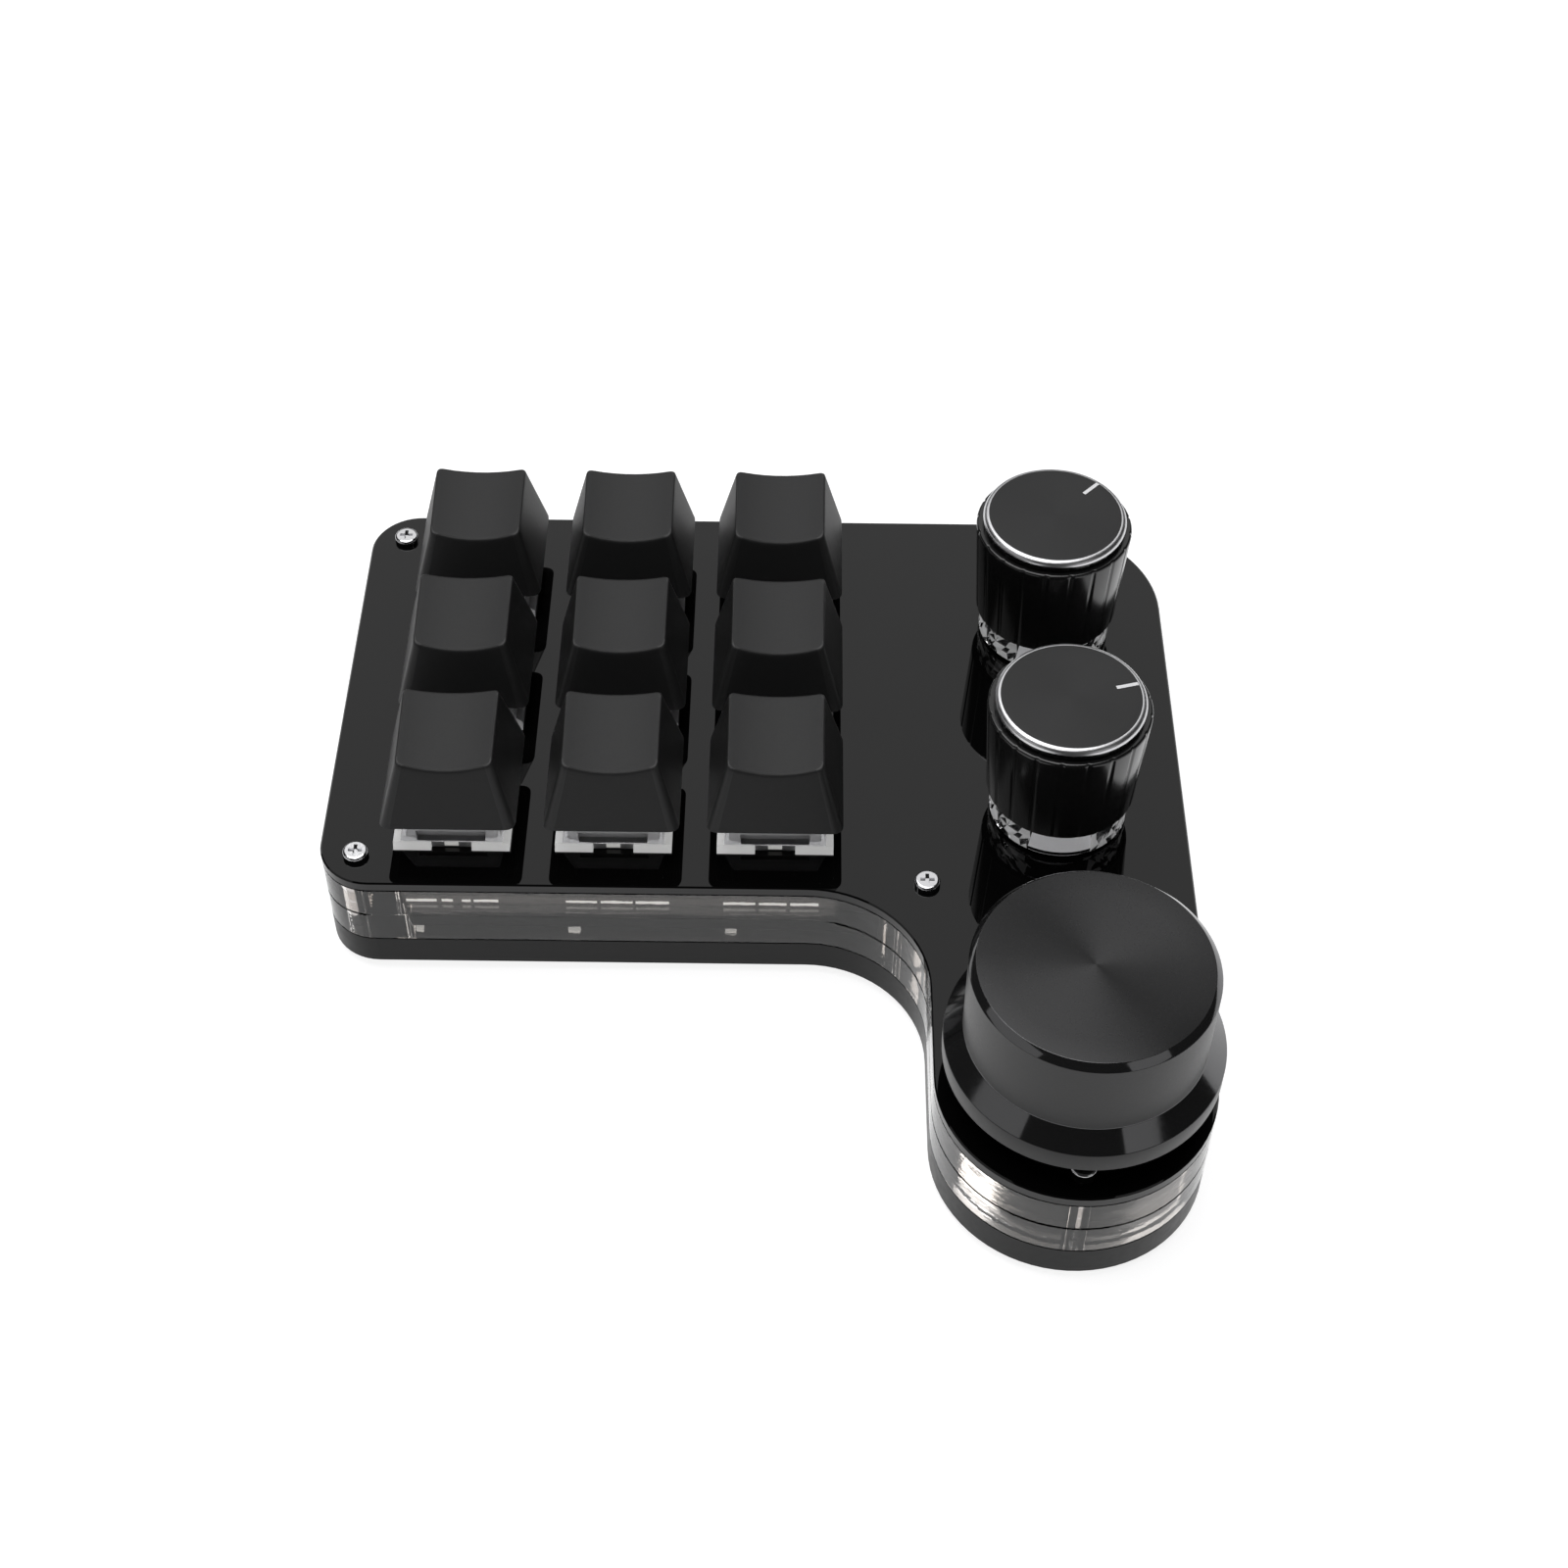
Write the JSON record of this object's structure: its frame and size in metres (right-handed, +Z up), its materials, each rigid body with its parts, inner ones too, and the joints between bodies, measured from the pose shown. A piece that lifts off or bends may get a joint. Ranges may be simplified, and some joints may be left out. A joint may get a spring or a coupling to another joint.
{
  "type": "macro keypad",
  "caption": "Desk macro keypad: blank sculpted keys, small push-turn knobs and a large control dial on a layered black and clear case.",
  "frame": {"origin": "centre of the footprint, on the desk under the rubber feet", "axes": "+Z up, +Y towards the back edge where the cable plugs in, +X towards the column of knobs"},
  "size_m": [0.1166, 0.119, 0.0404],
  "materials": {
    "plate_black": "mirror gloss black",
    "spacer_clear": "clear, polished",
    "base_black": "satin black",
    "screw_bright": "polished",
    "nut_steel": "plain",
    "foot_rubber": "matte",
    "board_black": "satin black coating",
    "socket_black": "matte",
    "light_white": "clear white",
    "chip_black": "matte",
    "port_steel": "plain",
    "switch_milky": "milky white",
    "switch_clear": "clear",
    "pin_brass": "plain",
    "stem_black": "matte",
    "spring_steel": "plain",
    "keycap_grey": "fine matte dark grey",
    "encoder_steel": "plain",
    "bushing_metal": "plain",
    "rotor_plastic": "matte",
    "shaft_metal": "plain",
    "shell_black": "satin black with a bright cut rim",
    "collar_bright": "polished",
    "core_plastic": "matte",
    "dial_metal": "spun top, satin wall, bright chamfer",
    "set_screw_steel": "blackened"
  },
  "bodies": {
    "case": {"top_plate": "plate_black", "upper_spacer": "spacer_clear", "lower_spacer": "spacer_clear", "base_plate": "base_black", "case_screws": "screw_bright", "case_nuts": "nut_steel", "rubber_feet": "foot_rubber", "circuit_board": "board_black", "hot_swap_sockets": "socket_black", "board_lights": "light_white", "controller_chip": "chip_black", "usb_port": "port_steel", "switch_lower_housings": "switch_milky", "switch_upper_housings": "switch_clear", "switch_pins": "pin_brass", "encoder_housings": "encoder_steel", "encoder_bushings": "bushing_metal", "switch_spring_back_left": "spring_steel", "switch_spring_back_centre": "spring_steel", "switch_spring_back_right": "spring_steel", "switch_spring_middle_left": "spring_steel", "switch_spring_middle_centre": "spring_steel", "switch_spring_middle_right": "spring_steel", "switch_spring_front_left": "spring_steel", "switch_spring_front_centre": "spring_steel", "switch_spring_front_right": "spring_steel"},
    "key_back_left": {"keycap_back_left": "keycap_grey", "switch_stem_back_left": "stem_black"},
    "key_back_centre": {"keycap_back_centre": "keycap_grey", "switch_stem_back_centre": "stem_black"},
    "key_back_right": {"keycap_back_right": "keycap_grey", "switch_stem_back_right": "stem_black"},
    "key_middle_left": {"keycap_middle_left": "keycap_grey", "switch_stem_middle_left": "stem_black"},
    "key_middle_centre": {"keycap_middle_centre": "keycap_grey", "switch_stem_middle_centre": "stem_black"},
    "key_middle_right": {"keycap_middle_right": "keycap_grey", "switch_stem_middle_right": "stem_black"},
    "key_front_left": {"keycap_front_left": "keycap_grey", "switch_stem_front_left": "stem_black"},
    "key_front_centre": {"keycap_front_centre": "keycap_grey", "switch_stem_front_centre": "stem_black"},
    "key_front_right": {"keycap_front_right": "keycap_grey", "switch_stem_front_right": "stem_black"},
    "back_knob_turn": {"back_knob_rotor": "rotor_plastic"},
    "back_knob_press": {"back_knob_shaft": "shaft_metal", "back_knob_shell": "shell_black", "back_knob_collar": "collar_bright", "back_knob_core": "core_plastic"},
    "middle_knob_turn": {"middle_knob_rotor": "rotor_plastic"},
    "middle_knob_press": {"middle_knob_shaft": "shaft_metal", "middle_knob_shell": "shell_black", "middle_knob_collar": "collar_bright", "middle_knob_core": "core_plastic"},
    "large_knob_turn": {"large_knob_rotor": "rotor_plastic"},
    "large_knob_press": {"large_knob_shaft": "shaft_metal", "large_knob_body": "dial_metal", "large_knob_set_screw": "set_screw_steel"}
  },
  "joints": [
    {"name": "key_back_left_press", "type": "slide", "parent": "case", "child": "key_back_left", "axis": [0, 0, -1], "range_m": [0, 0.004], "stiffness_N_per_m": 75, "springref_m": -0.004, "deforming": ["switch_spring_back_left"]},
    {"name": "key_back_centre_press", "type": "slide", "parent": "case", "child": "key_back_centre", "axis": [0, 0, -1], "range_m": [0, 0.004], "stiffness_N_per_m": 75, "springref_m": -0.004, "deforming": ["switch_spring_back_centre"]},
    {"name": "key_back_right_press", "type": "slide", "parent": "case", "child": "key_back_right", "axis": [0, 0, -1], "range_m": [0, 0.004], "stiffness_N_per_m": 75, "springref_m": -0.004, "deforming": ["switch_spring_back_right"]},
    {"name": "key_middle_left_press", "type": "slide", "parent": "case", "child": "key_middle_left", "axis": [0, 0, -1], "range_m": [0, 0.004], "stiffness_N_per_m": 75, "springref_m": -0.004, "deforming": ["switch_spring_middle_left"]},
    {"name": "key_middle_centre_press", "type": "slide", "parent": "case", "child": "key_middle_centre", "axis": [0, 0, -1], "range_m": [0, 0.004], "stiffness_N_per_m": 75, "springref_m": -0.004, "deforming": ["switch_spring_middle_centre"]},
    {"name": "key_middle_right_press", "type": "slide", "parent": "case", "child": "key_middle_right", "axis": [0, 0, -1], "range_m": [0, 0.004], "stiffness_N_per_m": 75, "springref_m": -0.004, "deforming": ["switch_spring_middle_right"]},
    {"name": "key_front_left_press", "type": "slide", "parent": "case", "child": "key_front_left", "axis": [0, 0, -1], "range_m": [0, 0.004], "stiffness_N_per_m": 75, "springref_m": -0.004, "deforming": ["switch_spring_front_left"]},
    {"name": "key_front_centre_press", "type": "slide", "parent": "case", "child": "key_front_centre", "axis": [0, 0, -1], "range_m": [0, 0.004], "stiffness_N_per_m": 75, "springref_m": -0.004, "deforming": ["switch_spring_front_centre"]},
    {"name": "key_front_right_press", "type": "slide", "parent": "case", "child": "key_front_right", "axis": [0, 0, -1], "range_m": [0, 0.004], "stiffness_N_per_m": 75, "springref_m": -0.004, "deforming": ["switch_spring_front_right"]},
    {"name": "back_knob_spin", "type": "hinge", "parent": "case", "child": "back_knob_turn", "pos_m": [0.04095, 0.0375, 0.0181], "axis": [0, 0, 1], "continuous": true},
    {"name": "back_knob_click", "type": "slide", "parent": "back_knob_turn", "child": "back_knob_press", "axis": [0, 0, -1], "range_m": [0, 0.0005], "stiffness_N_per_m": 1500, "springref_m": -0.001},
    {"name": "middle_knob_spin", "type": "hinge", "parent": "case", "child": "middle_knob_turn", "pos_m": [0.04095, 0.0028, 0.0181], "axis": [0, 0, 1], "continuous": true},
    {"name": "middle_knob_click", "type": "slide", "parent": "middle_knob_turn", "child": "middle_knob_press", "axis": [0, 0, -1], "range_m": [0, 0.0005], "stiffness_N_per_m": 1500, "springref_m": -0.001},
    {"name": "large_knob_spin", "type": "hinge", "parent": "case", "child": "large_knob_turn", "pos_m": [0.04095, -0.0412, 0.0181], "axis": [0, 0, 1], "continuous": true},
    {"name": "large_knob_click", "type": "slide", "parent": "large_knob_turn", "child": "large_knob_press", "axis": [0, 0, -1], "range_m": [0, 0.0005], "stiffness_N_per_m": 2500, "springref_m": -0.001}
  ]
}
